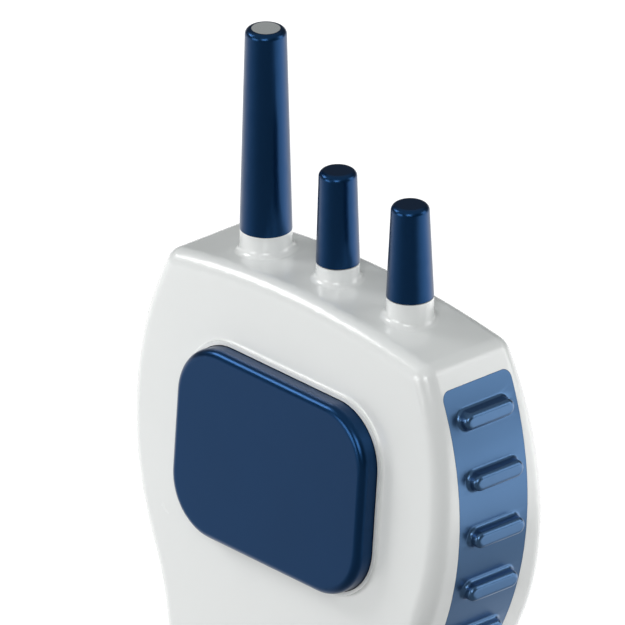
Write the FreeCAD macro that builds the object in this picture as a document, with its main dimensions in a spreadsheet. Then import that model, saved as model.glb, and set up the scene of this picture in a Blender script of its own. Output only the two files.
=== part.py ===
"""Toy walkie talkie: an hourglass housing with a push-to-talk button, two knobs, an antenna and its works.

Frame: +Z up, -Y is the front, origin at the middle of the flat base, millimetres.
The housing is a wedge: its front and back faces lean towards each other by the same angle going up.
"""
import FreeCAD, Part
import math
import os
import Sketcher
from FreeCAD import Placement, Rotation, Vector

doc = FreeCAD.newDocument("toy_walkie_talkie")
sizes = doc.addObject("Spreadsheet::Sheet", "sizes")

SIZES = [
    # housing outline, seen from the front
    ("body_height", 125.0), ("crown_radius", 167.6),
    ("bulge_radius", 53.0), ("bulge_half_width", 36.0), ("bulge_drop", 27.5),
    ("waist_radius", 45.0), ("waist_half_width", 24.65),
    ("foot_half_width", 33.0), ("foot_height", 16.14),
    # housing thickness and edges
    ("top_thickness", 18.54), ("face_lean", 4.5),
    ("corner_round", 3.3), ("edge_round", 2.9), ("wall", 2.4),
    # back cover and its seat
    ("cover_inset", 3.6), ("cover_ledge", 1.4), ("cover_lip", 1.2), ("fit_gap", 0.15),
    # control collars and bosses under them
    ("control_pitch", 16.67), ("collar_rise", 2.8), ("collar_foot", 1.1),
    ("boss_drop", 5.0), ("boss_radius", 4.6), ("boss_rise", 3.0),
    # knobs and shafts
    ("knob_height", 15.5), ("knob_top_radius", 3.0), ("knob_edge", 1.0), ("knob_gap", 0.15),
    ("volume_radius", 3.46), ("channel_radius", 3.75),
    ("shaft_radius", 1.5), ("shaft_clearance", 0.06), ("shaft_depth", 10.0),
    # antenna
    ("antenna_radius", 4.15), ("antenna_top_radius", 3.27), ("antenna_height", 34.2),
    ("antenna_bore", 1.9), ("tip_radius", 2.26), ("tip_thick", 0.9),
    ("ferrule_radius", 2.5), ("ferrule_flange", 3.8), ("ferrule_grip", 6.0),
    ("coil_radius", 1.3), ("coil_wire", 0.3), ("coil_pitch", 1.5),
    # push-to-talk button
    ("button_centre_drop", 29.1), ("button_width", 43.6), ("button_height", 31.6), ("button_round", 9.2),
    ("button_proud", 3.05), ("button_edge", 1.3), ("button_gap", 0.12), ("button_skin", 2.0),
    ("rim_land", 0.6), ("rim_height", 0.55), ("rim_foot", 0.5),
    ("flange_width", 1.4), ("flange_thick", 1.2), ("stop_gap", 0.1),
    ("plunger_radius", 3.0), ("button_travel", 1.5),
    # grip inlays
    ("grip_width", 14.2), ("grip_top_drop", 6.45), ("grip_depth", 1.3), ("grip_gap", 0.05),
    ("grip_corner", 1.5), ("rib_count", 9), ("rib_pitch", 9.72), ("rib_drop", 11.2),
    ("rib_length", 10.2), ("rib_height", 2.8), ("rib_proud", 2.1), ("rib_edge", 0.8), ("rib_foot", 0.7),
    # main board and what sits on it
    ("board_depth", 11.8), ("board_thick", 1.6), ("board_width", 58.0), ("board_top", 9.8),
    ("board_shoulder", 13.4), ("board_tail_width", 41.0), ("board_bottom", 35.2),
    ("switch_size", 6.0), ("switch_depth", 3.6), ("stem_radius", 1.6), ("stem_height", 1.6),
    # screws
    ("post_radius", 2.5), ("screw_radius", 0.95), ("thread_gap", 0.03),
    ("head_radius", 1.9), ("head_height", 1.3), ("screw_length", 6.0),
    # upper control board, volume and channel controls
    ("shelf_drop", 16.7), ("shelf_thick", 1.2), ("shelf_width", 43.0), ("shelf_depth", 9.0),
    ("control_size", 9.0), ("control_height", 6.4),
    # speaker, its grille and the microphone
    ("speaker_height", 30.0), ("speaker_radius", 18.0), ("speaker_depth", 5.0), ("magnet_radius", 8.5),
    ("magnet_depth", 4.5), ("gasket_thick", 0.5), ("ring_wall", 1.4), ("ring_height", 4.0),
    ("slot_height", 2.0), ("slot_pitch", 5.0), ("slot_field", 14.0),
    ("mic_across", 16.0), ("mic_height", 57.0), ("mic_radius", 2.6), ("mic_depth", 3.0), ("boot_wall", 0.8),
    ("mic_hole", 0.75),
    # batteries, tray and door
    ("cell_radius", 5.25), ("cell_length", 43.4), ("cell_pitch", 10.9),
    ("nub_radius", 1.9), ("nub_height", 1.1),
    ("tray_wall", 1.2), ("tray_length", 48.0), ("tray_gap", 0.35), ("tray_centre", 31.0),
    ("door_thick", 1.5), ("door_margin", 1.6), ("door_tab_radius", 4.0), ("door_screw_rise", 2.2),
    ("contact_thick", 0.4), ("spring_wire", 0.3), ("spring_radius", 2.6), ("spring_turns", 2.5),
    ("lead_radius", 0.55),
]


def fill_sheet():
    """One row for each size: its name in column A and its number, aliased, in column B."""
    for row, (name, number) in enumerate(SIZES, start=1):
        sizes.set(f"A{row}", name)
        sizes.set(f"B{row}", str(number))
        sizes.setAlias(f"B{row}", name)
    doc.recompute()


fill_sheet()


def size(name):
    """A size as the sheet holds it."""
    return float(getattr(sizes, name))


# ---------------------------------------------------------------- values worked out from the sheet

HEIGHT = size("body_height")
LEAN = size("face_lean")
SLOPE = math.tan(math.radians(LEAN))
WALL = size("wall")
FAR = 200.0
TINY = 1e-3


def half_thickness(height):
    """Half the distance between the leaning faces at one height."""
    return size("top_thickness") / 2 + SLOPE * (HEIGHT - height)


def front_frame(height):
    """Placement on the front face: local -Y points straight out of it, local Z runs up it."""
    return Placement(Vector(0, -half_thickness(height), height), Rotation(Vector(1, 0, 0), -LEAN))


def back_frame(height):
    """Placement on the back face: local +Y points straight out of it, local Z runs up it."""
    return Placement(Vector(0, half_thickness(height), height), Rotation(Vector(1, 0, 0), LEAN))


BUTTON_FRAME = front_frame(HEIGHT - size("button_centre_drop"))
SPEAKER_FRAME = front_frame(size("speaker_height"))
MIC_FRAME = front_frame(size("mic_height"))
TRAY_FRAME = back_frame(size("tray_centre"))


# ---------------------------------------------------------------- helpers for primitives and booleans

def bind(thing, links):
    """Ties properties to expressions in the sheet's names."""
    for prop, expression in links.items():
        thing.setExpression(prop, expression)


def box(name, length, depth, height, centre, frame=Placement()):
    """A block; its three sizes are expressions and its centre is given in the frame."""
    block = doc.addObject("Part::Box", name)
    bind(block, {"Length": length, "Width": depth, "Height": height})
    doc.recompute()
    corner = Vector(centre) - Vector(block.Length, block.Width, block.Height) * 0.5
    block.Placement = frame.multiply(Placement(corner, Rotation()))
    return block


def cylinder(name, radius, length, start, axis=(0, 0, 1), frame=Placement()):
    """A round bar from its start point along an axis of the frame; radius and length are expressions."""
    bar = doc.addObject("Part::Cylinder", name)
    bind(bar, {"Radius": radius, "Height": length})
    bar.Placement = frame.multiply(Placement(Vector(start), Rotation(Vector(0, 0, 1), Vector(axis))))
    return bar


def cone(name, radius, top_radius, length, start):
    """An upright taper standing on its start point; the sizes are expressions."""
    taper = doc.addObject("Part::Cone", name)
    bind(taper, {"Radius1": radius, "Radius2": top_radius, "Height": length})
    taper.Placement = Placement(Vector(start), Rotation())
    return taper


def join(label, pieces):
    """Fuses pieces into one."""
    fused = doc.addObject("Part::MultiFuse", label)
    fused.Shapes = pieces
    fused.Refine = True
    return fused


def cut(label, base, tools):
    """Takes the tools away from the base."""
    tool = tools[0] if len(tools) == 1 else join(label + "_tools", tools)
    result = doc.addObject("Part::Cut", label)
    result.Base = base
    result.Tool = tool
    return result


def common(label, first, second):
    """What two shapes share."""
    result = doc.addObject("Part::Common", label)
    result.Base = first
    result.Tool = second
    return result


def group(label, pieces):
    """Separate solids of one kind kept as one node."""
    result = doc.addObject("Part::Compound", label)
    result.Links = pieces
    return result


def edges_where(shape, test):
    """Numbers of the edges whose every sampled point passes the test."""
    return [i for i, edge in enumerate(shape.Edges, start=1) if all(test(p) for p in edge.discretize(7))]


def round_edges(label, base, radius, test):
    """Fillets every edge that passes the test."""
    doc.recompute()
    numbers = edges_where(base.Shape, test)
    if not numbers:
        raise ValueError("no edges found for " + label)
    fillet = doc.addObject("Part::Fillet", label)
    fillet.Base = base
    fillet.Edges = [(number, radius, radius) for number in numbers]
    doc.recompute()
    return fillet


# ---------------------------------------------------------------- helpers for bodies and sketches

def new_sketch(body, name, role, offset=0.0):
    """A sketch on one of the body's own origin planes, moved along that plane's normal."""
    sketch = body.newObject("Sketcher::SketchObject", name)
    plane = next(feature for feature in body.Origin.OriginFeatures if feature.Role == role)
    sketch.AttachmentSupport = (plane, "")
    sketch.MapMode = "FlatFace"
    sketch.AttachmentOffset = Placement(Vector(0, 0, offset), Rotation())
    return sketch


def tie(sketch, name, constraint, expression):
    """Adds a named dimension and ties it to an expression."""
    sketch.renameConstraint(sketch.addConstraint(constraint), name)
    sketch.setExpression("Constraints." + name, expression)


def rounded_rectangle(sketch, width, height, radius):
    """A rectangle with round corners centred on the sketch's origin; its sizes are expressions."""
    w, h, r = 20.0, 15.0, 4.0
    corners = [(w - r, h - r, 0), (r - w, h - r, 90), (r - w, r - h, 180), (w - r, r - h, 270)]
    ends = [((w - r, h), (r - w, h)), ((-w, h - r), (-w, r - h)), ((r - w, -h), (w - r, -h)),
            ((w, r - h), (w, h - r))]
    for (x, y, start), (a, b) in zip(corners, ends):
        circle = Part.Circle(Vector(x, y, 0), Vector(0, 0, 1), r)
        sketch.addGeometry(Part.ArcOfCircle(circle, math.radians(start), math.radians(start + 90)), False)
        sketch.addGeometry(Part.LineSegment(Vector(*a, 0), Vector(*b, 0)), False)
    for arc in range(0, 8, 2):
        sketch.addConstraint(Sketcher.Constraint("Tangent", arc, 2, arc + 1, 1))
        sketch.addConstraint(Sketcher.Constraint("Tangent", arc + 1, 2, (arc + 2) % 8, 1))
        kind = "Horizontal" if arc in (0, 4) else "Vertical"
        sketch.addConstraint(Sketcher.Constraint(kind, arc + 1))
    for arc in (2, 4, 6):
        sketch.addConstraint(Sketcher.Constraint("Equal", 0, arc))
    sketch.addConstraint(Sketcher.Constraint("Symmetric", 0, 3, 4, 3, -1, 1))
    tie(sketch, "across", Sketcher.Constraint("DistanceX", 3, 1, 7, 1, 2 * w), width)
    tie(sketch, "tall", Sketcher.Constraint("DistanceY", 5, 1, 1, 1, 2 * h), height)
    tie(sketch, "corner", Sketcher.Constraint("Radius", 0, r), radius)


def plate(name, width, height, radius, start, thickness, frame=Placement(), role="XZ_Plane"):
    """A rounded rectangular plate: from y = start towards -Y on XZ, or from x = start towards +X on YZ."""
    body = doc.addObject("PartDesign::Body", name)
    sketch = new_sketch(body, name + "_outline", role, -start if role == "XZ_Plane" else start)
    rounded_rectangle(sketch, width, height, radius)
    pad = body.newObject("PartDesign::Pad", name + "_pad")
    pad.Profile = sketch
    pad.setExpression("Length", thickness)
    body.Placement = frame
    doc.recompute()
    return body


# ---------------------------------------------------------------- housing outline

def circles_meet(first, first_radius, second, second_radius):
    """The right-hand one of the two points where circles in the XZ plane cross."""
    gap = second - first
    along = (gap.Length ** 2 + first_radius ** 2 - second_radius ** 2) / (2 * gap.Length)
    rise = math.sqrt(first_radius ** 2 - along ** 2)
    unit = gap / gap.Length
    offset = Vector(-unit.z, 0, unit.x) * rise
    return first + unit * along + offset * math.copysign(1, offset.x)


def outline_points(inset):
    """The right-hand half of the outline, moved in by the inset.

    Crown arc, bulge arc, waist arc and foot arc; each side arc is tangent to the next, so the
    waist's centre is found from the bulge's, and the foot's radius from the waist's.
    """
    crown = Vector(0, 0, HEIGHT - size("crown_radius"))
    bulge = Vector(size("bulge_half_width") - size("bulge_radius"), 0, HEIGHT - size("bulge_drop"))
    waist_x = size("waist_half_width") + size("waist_radius")
    reach = size("bulge_radius") + size("waist_radius")
    waist = Vector(waist_x, 0, bulge.z - math.sqrt(reach ** 2 - (waist_x - bulge.x) ** 2))
    across, drop = waist.x - size("foot_half_width"), waist.z - size("foot_height")
    foot_radius = (across ** 2 + drop ** 2 - size("waist_radius") ** 2) / (2 * (size("waist_radius") - across))
    foot = Vector(size("foot_half_width") - foot_radius, 0, size("foot_height"))
    crown_r = size("crown_radius") - inset
    bulge_r = size("bulge_radius") - inset
    waist_r = size("waist_radius") + inset
    foot_r = foot_radius - inset
    shoulder = circles_meet(crown, crown_r, bulge, bulge_r)
    upper = bulge + (waist - bulge).normalize() * bulge_r
    lower = waist + (foot - waist).normalize() * waist_r
    base = Vector(foot.x + math.sqrt(foot_r ** 2 - (inset - foot.z) ** 2), 0, inset)
    widest = bulge + Vector(bulge_r, 0, 0)
    waist_mid = waist - Vector(waist_r, 0, 0)
    foot_mid = foot + (((lower + base) * 0.5) - foot).normalize() * foot_r
    return {"top": Vector(0, 0, HEIGHT - inset), "shoulder": shoulder, "widest": widest, "upper": upper,
            "waist": waist_mid, "lower": lower, "foot": foot_mid, "base": base}


def draw_outline(sketch, inset):
    """The whole outline as arcs and the flat base, in the sketch's XZ plane."""
    p = outline_points(inset)

    def right(name):
        return Vector(p[name].x, p[name].z, 0)

    def left(name):
        return Vector(-p[name].x, p[name].z, 0)

    sketch.addGeometry(Part.Arc(left("shoulder"), right("top"), right("shoulder")), False)
    for side in (right, left):
        sketch.addGeometry(Part.Arc(side("shoulder"), side("widest"), side("upper")), False)
        sketch.addGeometry(Part.Arc(side("upper"), side("waist"), side("lower")), False)
        sketch.addGeometry(Part.Arc(side("lower"), side("foot"), side("base")), False)
    sketch.addGeometry(Part.LineSegment(right("base"), left("base")), False)


def outline_prism(name, inset):
    """The outline as a prism running far past both faces."""
    body = doc.addObject("PartDesign::Body", name)
    sketch = new_sketch(body, name + "_outline", "XZ_Plane")
    draw_outline(sketch, inset)
    pad = body.newObject("PartDesign::Pad", name + "_pad")
    pad.Profile = sketch
    pad.SideType = "Symmetric"
    pad.Length = FAR
    doc.recompute()
    return body


def housing_form(name, inset, corner, edge):
    """The outline prism cut to the leaning faces, with its corners and its face edges rounded."""
    body = outline_prism(name, inset)
    sketch = new_sketch(body, name + "_faces", "YZ_Plane")
    for side in (-1, 1):
        depth = [side * (half_thickness(z) - inset / math.cos(math.radians(LEAN))) for z in (-FAR, FAR)]
        quad = [Vector(depth[0], -FAR, 0), Vector(depth[1], FAR, 0), Vector(side * FAR, FAR, 0),
                Vector(side * FAR, -FAR, 0)]
        for a, b in zip(quad, quad[1:] + quad[:1]):
            sketch.addGeometry(Part.LineSegment(a, b), False)
    pocket = body.newObject("PartDesign::Pocket", name + "_lean")
    pocket.Profile = sketch
    pocket.SideType = "Symmetric"
    pocket.Length = FAR
    doc.recompute()
    points = outline_points(inset)
    corners = [points["shoulder"], points["base"]]

    def at_corner(p):
        return any(abs(abs(p.x) - c.x) < TINY and abs(p.z - c.z) < TINY for c in corners)

    round_body_edges(body, pocket, name + "_corners", corner, at_corner)
    inner = inset / math.cos(math.radians(LEAN))
    round_body_edges(body, body.Tip, name + "_edges", edge,
                     lambda p: abs(abs(p.y) - half_thickness(p.z) + inner) < TINY)
    return body


def round_body_edges(body, base, name, radius, test):
    """A fillet feature on the body's edges that pass the test."""
    fillet = body.newObject("PartDesign::Fillet", name)
    fillet.Base = (base, [f"Edge{i}" for i in edges_where(base.Shape, test)])
    fillet.Radius = radius
    doc.recompute()


def slab(name, near, far, frame):
    """A wide slab parallel to a leaning face, between two depths in that face's frame."""
    block = doc.addObject("Part::Box", name)
    block.Length = FAR
    block.Width = far - near
    block.Height = 2 * FAR
    block.Placement = frame.multiply(Placement(Vector(-FAR / 2, near, -FAR), Rotation()))
    return block


CONTROLS = {"antenna": -size("control_pitch"), "volume": 0.0, "channel": size("control_pitch")}
COLLAR_TOP = HEIGHT + size("collar_rise")
RUNNING_BORE = "sizes.shaft_radius + sizes.shaft_clearance"
BUTTON_DEPTH = size("rim_height") + size("button_proud")
BOSS_BOTTOM = HEIGHT - size("boss_drop")
SHELF_TOP = HEIGHT - size("shelf_drop") + size("shelf_thick")
COVER_POSTS = [(side * 24.5, height) for side in (-1, 1) for height in (HEIGHT - 12.5, 21.0)]
BOARD_POSTS = [(side * across, up) for side in (-1, 1) for across, up in ((26.0, 3.0), (16.0, -30.5))]


# ---------------------------------------------------------------- housing

def collars():
    """A round collar under each control, as wide as the control's foot."""
    return [cylinder(f"collar_{name}", f"sizes.{name}_radius", "sizes.collar_rise + sizes.wall",
                     (x, 0, HEIGHT - WALL))
            for name, x in CONTROLS.items()]


def housing_shell():
    """The outer form with the collars and the button's rim grown out of it through concave feet."""
    outer = housing_form("outer_form", 0.0, size("corner_round"), size("edge_round"))
    grow = "2 * sizes.button_gap + 2 * sizes.rim_land"
    rim = plate("rim_blank", f"sizes.button_width + {grow}", f"sizes.button_height + {grow}",
                "sizes.button_round + sizes.button_gap + sizes.rim_land", WALL / 2,
                "sizes.rim_height + sizes.wall / 2", BUTTON_FRAME)
    grown = join("grown_form", [outer, rim] + collars())
    inverse = BUTTON_FRAME.inverse()

    def at_collar_foot(p):
        near = [abs(math.hypot(p.x - x, p.y) - size(f"{name}_radius")) < TINY for name, x in CONTROLS.items()]
        return any(near) and p.z < HEIGHT + 0.5

    def at_rim_foot(p):
        local = inverse.multVec(p)
        across = abs(local.x) < size("button_width") / 2 + 2
        return abs(local.y) < TINY and across and abs(local.z) < size("button_height") / 2 + 2

    footed = round_edges("collar_feet", grown, size("collar_foot"), at_collar_foot)
    return outer, round_edges("rim_feet", footed, size("rim_foot"), at_rim_foot)


def control_holes():
    """Bores through the collars: running holes for the shafts and a seat for the antenna's ferrule."""
    holes = []
    for name, x in CONTROLS.items():
        core = "sizes.ferrule_radius + 0.05" if name == "antenna" else RUNNING_BORE
        holes.append(cylinder(f"bore_{name}", core, "20", (x, 0, HEIGHT - 12)))
    return holes


def grille_slots():
    """Round-ended slots over the speaker, shorter towards the top and bottom of a round field."""
    slots = []
    for row in range(-2, 3):
        rise = row * size("slot_pitch")
        length = 2 * math.sqrt(size("slot_field") ** 2 - rise ** 2)
        frame = SPEAKER_FRAME.multiply(Placement(Vector(0, 0, rise), Rotation()))
        slot = plate(f"slot_{row + 3}", str(length), "sizes.slot_height", "sizes.slot_height / 2 - 0.01",
                     WALL + 1, "sizes.wall + 2", frame)
        slots.append(slot)
    return slots


def post(name, x, z, near, far, frame, pilot):
    """A screw post in a face's frame with a blind pilot hole in its free end."""
    stem = cylinder(name + "_stem", "sizes.post_radius", str(far - near), (x, near, z), (0, 1, 0), frame)
    hole = cylinder(name + "_pilot", "sizes.screw_radius + sizes.thread_gap", str(pilot),
                    (x, far - pilot, z), (0, 1, 0), frame)
    return stem, hole


def housing_parts():
    """The housing, and the outer form that the inlays and the cover are cut from."""
    outer, shell = housing_shell()
    cavity = housing_form("cavity_form", WALL, 2.0, 1.5)
    open_form = outline_prism("opening_prism", size("cover_inset") + size("cover_ledge"))
    opening = common("cover_opening", open_form, slab("opening_slab", -6.0, 10.0, TRAY_FRAME))
    seat = common("cover_seat", outline_prism("seat_prism", size("cover_inset")),
                  slab("seat_slab", -size("cover_lip"), 10.0, TRAY_FRAME))
    grow = "2 * sizes.button_gap"
    button_hole = plate("button_hole", f"sizes.button_width + {grow}", f"sizes.button_height + {grow}",
                        "sizes.button_round + sizes.button_gap", WALL + 3, "12", BUTTON_FRAME)
    hollow = cut("housing_hollow", shell, [cavity, opening, seat, button_hole] + grille_slots())
    bosses = [cylinder(f"boss_{name}", "sizes.boss_radius", "sizes.boss_rise", (x, 0, BOSS_BOTTOM))
              for name, x in CONTROLS.items()]
    stems, pilots = [], []
    for number, (x, z) in enumerate(BOARD_POSTS, start=1):
        stem, hole = post(f"board_post_{number}", x, z, WALL - 0.4, size("board_depth"), BUTTON_FRAME, 7.0)
        stems.append(stem)
        pilots.append(hole)
    for number, (x, height) in enumerate(COVER_POSTS, start=1):
        frame = back_frame(height)
        start = -2 * half_thickness(height) + WALL / 2
        stem, hole = post(f"cover_post_{number}", x, 0, start, -WALL, frame, 8.0)
        stems.append(stem)
        pilots.append(hole)
    ring_outer = cylinder("ring_outer", "sizes.speaker_radius + sizes.fit_gap + sizes.ring_wall",
                          "sizes.ring_height + 0.4", (0, WALL - 0.4, 0), (0, 1, 0), SPEAKER_FRAME)
    ring_inner = cylinder("ring_inner", "sizes.speaker_radius + sizes.fit_gap", "20", (0, -5, 0),
                          (0, 1, 0), SPEAKER_FRAME)
    ring = cut("speaker_ring", ring_outer, [ring_inner])
    mic_at = (size("mic_across"), -5, 0)
    mic_hole = cylinder("mic_hole_cut", "sizes.mic_hole", "12", mic_at, (0, 1, 0), MIC_FRAME)
    holes = control_holes() + pilots + [mic_hole] + grip_recesses(outer)
    solid = join("housing_grown", [hollow] + bosses + stems + [ring])
    return outer, cut("housing", solid, holes)


# ---------------------------------------------------------------- grips

def rib_heights():
    """Heights of the ribs' centres, from the top one down."""
    first = HEIGHT - size("rib_drop")
    return [first - size("rib_pitch") * k for k in range(int(size("rib_count")))]


def side_reach(height):
    """Half-width of the outline at a height on one of its three side arcs."""
    p = outline_points(0.0)
    arcs = [(p["shoulder"], p["widest"], p["upper"]), (p["upper"], p["waist"], p["lower"]),
            (p["lower"], p["foot"], p["base"])]
    for start, middle, end in arcs:
        if end.z <= height <= start.z:
            circle = Part.Arc(start, middle, end).toShape().Curve
            side = 1 if circle.Center.x < middle.x else -1
            return circle.Center.x + side * math.sqrt(circle.Radius ** 2 - (height - circle.Center.z) ** 2)
    raise ValueError("height outside the side arcs")


def grip_prism(name, gap):
    """The inlay's rounded outline, seen from the side, as a prism through the right-hand wall."""
    top = HEIGHT - size("grip_top_drop")
    bottom = rib_heights()[-1] - (size("rib_pitch") * 0.5)
    frame = Placement(Vector(0, 0, (top + bottom) / 2), Rotation())
    return plate(name, f"sizes.grip_width + {2 * gap}", f"{top - bottom + 2 * gap}",
                 f"sizes.grip_corner + {gap}",
                 10.0, "60", frame, "YZ_Plane")


def grip_skin(name, outer, depth, gap):
    """What the prism takes out of the outer form, down to one depth."""
    core = outline_prism(name + "_core", depth)
    return common(name, cut(name + "_shell", outer, [core]), grip_prism(name + "_prism", gap))


def grip_recesses(outer):
    """The seats of both inlays."""
    right = grip_skin("recess_right", outer, size("grip_depth") + size("grip_gap"), size("grip_gap"))
    return [right, mirrored("recess_left", right)]


def mirrored(label, source):
    """The left-hand copy of a right-hand piece."""
    copy = doc.addObject("Part::Mirroring", label)
    copy.Source = source
    copy.Normal = Vector(1, 0, 0)
    return copy


def rib(number, height):
    """A round-ended rib with a flat outer face, standing out of the inlay along X."""
    reach = side_reach(height)
    body = plate(f"rib_{number}", "sizes.rib_length", "sizes.rib_height", "sizes.rib_height / 2 - 0.01",
                 reach - size("grip_depth") * 0.6, "sizes.rib_proud + sizes.grip_depth * 0.6",
                 Placement(Vector(0, 0, height), Rotation()), "YZ_Plane")
    crest = reach + size("rib_proud")
    round_body_edges(body, body.Tip, f"rib_{number}_round", size("rib_edge"),
                     lambda p: abs(p.x - crest) < TINY)
    return body


def grips(outer):
    """The two soft inlays with their ribs."""
    skin = grip_skin("grip_blank", outer, size("grip_depth"), 0.0)
    ribs = [rib(number, height) for number, height in enumerate(rib_heights(), start=1)]
    blank = join("grip_ribbed", [skin] + ribs)

    def at_rib_foot(p):
        inside = any(abs(p.z - height) < size("rib_height") / 2 + 0.01 for height in rib_heights())
        return inside and abs(p.y) < size("rib_length") / 2 + 0.01 and abs(p.x - side_reach(p.z)) < TINY

    right = round_edges("right_grip", blank, size("rib_foot"), at_rib_foot)
    return right, mirrored("left_grip", right)


# ---------------------------------------------------------------- back cover, battery door and tray

TRAY_WIDTH = 2 * size("cell_pitch") + 2 * size("cell_radius") + 2 * size("tray_gap")
TRAY_DEPTH = size("door_thick") + 2 * size("cell_radius") + 2 * size("tray_gap")


def tray_block(name, grow, near, far):
    """The tray's inner space grown by a wall, between two depths behind the back face."""
    return box(name, str(TRAY_WIDTH + 2 * grow), str(far - near), f"sizes.tray_length + {2 * grow}",
               (0, (near + far) / 2, 0), TRAY_FRAME)


def back_cover():
    """A plate seated flush in the back of the housing, with the battery tray moulded on its inside."""
    gap = size("fit_gap")
    face = common("cover_face", outline_prism("cover_prism", size("cover_inset") + gap),
                  slab("cover_face_slab", -size("cover_lip"), 0.0, TRAY_FRAME))
    inner_form = outline_prism("spigot_prism", size("cover_inset") + size("cover_ledge") + gap)
    spigot = common("cover_spigot", inner_form, slab("spigot_slab", -WALL, -size("cover_lip") / 2, TRAY_FRAME))
    wall = size("tray_wall")
    tray = tray_block("tray_outer", wall, -TRAY_DEPTH - wall, -size("cover_lip") / 2)
    inside = tray_block("tray_inner", 0.0, -TRAY_DEPTH, 5.0)
    margin = size("door_margin")
    door_seat = tray_block("door_seat", margin, -size("door_thick"), 5.0)
    frame = TRAY_FRAME
    up = size("tray_length") / 2 + margin
    screw_up = up + size("door_screw_rise")
    screw_post = cylinder("door_post", "3.2", "8", (0, -8.0, screw_up + 0.4), (0, 1, 0), frame)
    seat = cylinder("door_tab_seat", "sizes.door_tab_radius", "5", (0, -size("door_thick"), screw_up - 0.6),
                    (0, 1, 0), frame)
    pilot = cylinder("door_pilot", "sizes.screw_radius + sizes.thread_gap", "6", (0, -7.0, screw_up),
                     (0, 1, 0), frame)
    holes = []
    for number, (x, height) in enumerate(COVER_POSTS, start=1):
        at = back_frame(height)
        holes.append(cylinder(f"cover_hole_{number}", "sizes.screw_radius + 0.15", "9", (x, -6, 0),
                              (0, 1, 0), at))
        holes.append(cylinder(f"cover_sink_{number}", "sizes.head_radius + 0.3", "5",
                              (x, -size("head_height") - 0.1, 0), (0, 1, 0), at))
    grown = join("cover_grown", [face, spigot, tray, screw_post])
    return cut("back_cover", grown, [inside, door_seat, seat, pilot] + holes)


def battery_door():
    """A flush lid with a round tab for its screw and three finger ridges."""
    grow = size("door_margin") - size("fit_gap")
    lid = tray_block("door_plate", grow, -size("door_thick"), 0.0)
    up = size("tray_length") / 2 + size("door_margin") + size("door_screw_rise")
    tab = cylinder("door_tab", "sizes.door_tab_radius - sizes.fit_gap", "sizes.door_thick",
                   (0, -size("door_thick"), up - 0.6), (0, 1, 0), TRAY_FRAME)
    hole = cylinder("door_hole", "sizes.screw_radius + sizes.fit_gap", "9", (0, -5, up), (0, 1, 0),
                    TRAY_FRAME)
    sink = cylinder("door_sink", "sizes.head_radius + 0.2", "5", (0, -0.7, up), (0, 1, 0), TRAY_FRAME)
    grooves = [box(f"door_groove_{k + 1}", "16", "0.8", "1.0", (0, 0, 14.0 - 2.4 * k), TRAY_FRAME)
               for k in range(3)]
    return cut("battery_door", join("door_blank", [lid, tab]), [hole, sink] + grooves)


def screw(name, x, z, head_depth, frame, length):
    """A pan-head screw driven from behind: shank, head and a cross recess."""
    shank = cylinder(name + "_shank", "sizes.screw_radius", str(length), (x, head_depth - length, z),
                     (0, 1, 0), frame)
    head = cylinder(name + "_head", "sizes.head_radius", "sizes.head_height * 0.45", (x, head_depth, z),
                    (0, 1, 0), frame)
    depth = head_depth + size("head_height") * 0.45
    bars = [box(f"{name}_bar_{k}", lengths[0], "0.5", lengths[1], (x, depth, z), frame)
            for k, lengths in enumerate((("2.2", "0.5"), ("0.5", "2.2")))]
    return cut(name, join(name + "_blank", [shank, head]), bars)


def screws():
    """The cover's, the board's and the door's screws."""
    cover = [screw(f"cover_screw_{k}", x, 0, -size("head_height") - 0.1, back_frame(height), 8.0)
             for k, (x, height) in enumerate(COVER_POSTS, start=1)]
    board = [screw(f"board_screw_{k}", x, z, size("board_depth") + size("board_thick"), BUTTON_FRAME,
                   size("screw_length"))
             for k, (x, z) in enumerate(BOARD_POSTS, start=1)]
    up = size("tray_length") / 2 + size("door_margin") + size("door_screw_rise")
    door = screw("door_screw", 0, up, -0.7, TRAY_FRAME, 5.0)
    return group("cover_screws", cover), group("board_screws", board), door


# ---------------------------------------------------------------- batteries and their contacts

def cell_frame(column):
    """Places a cell in the tray: columns 0 and 2 stand nub up, column 1 nub down."""
    x = (column - 1) * size("cell_pitch")
    depth = -size("door_thick") - size("tray_gap") - size("cell_radius")
    turn = Rotation(Vector(0, 1, 0), 180) if column == 1 else Rotation()
    return TRAY_FRAME.multiply(Placement(Vector(x, depth, 0), turn))


CELL_TOP = size("tray_length") / 2 - size("contact_thick") - size("nub_height")
CELL_BOTTOM = CELL_TOP - size("cell_length")


def battery(column):
    """A small cylindrical cell with its nub."""
    frame = cell_frame(column)
    can = cylinder(f"cell_can_{column + 1}", "sizes.cell_radius", "sizes.cell_length", (0, 0, CELL_BOTTOM),
                   (0, 0, 1), frame)
    nub = cylinder(f"cell_nub_{column + 1}", "sizes.nub_radius", "sizes.nub_height + 0.2",
                   (0, 0, CELL_TOP - 0.2), (0, 0, 1), frame)
    return join(f"battery_{column + 1}", [can, nub])


def contact_plate(column):
    """The flat spring-steel plate that a nub rests on."""
    return box(f"contact_plate_{column + 1}", "8", "8", "sizes.contact_thick",
               (0, 0, size("tray_length") / 2 - size("contact_thick") / 2), cell_frame(column))


def coil_spring(name, radius, wire, pitch, length, frame):
    """A round wire swept along a helix that stands on its frame's origin."""
    helix = doc.addObject("Part::Helix", name + "_path")
    bind(helix, {"Radius": radius, "Pitch": pitch, "Height": length})
    ring = doc.addObject("Part::Circle", name + "_ring")
    bind(ring, {"Radius": wire})
    doc.recompute()
    helix.Placement = frame
    ring.Placement = frame.multiply(Placement(Vector(helix.Radius.Value, 0, 0),
                                              Rotation(Vector(1, 0, 0), 90)))
    sweep = doc.addObject("Part::Sweep", name)
    sweep.Sections = [ring]
    sweep.Spine = (helix, [])
    sweep.Solid = True
    sweep.Frenet = True
    return sweep


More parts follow.
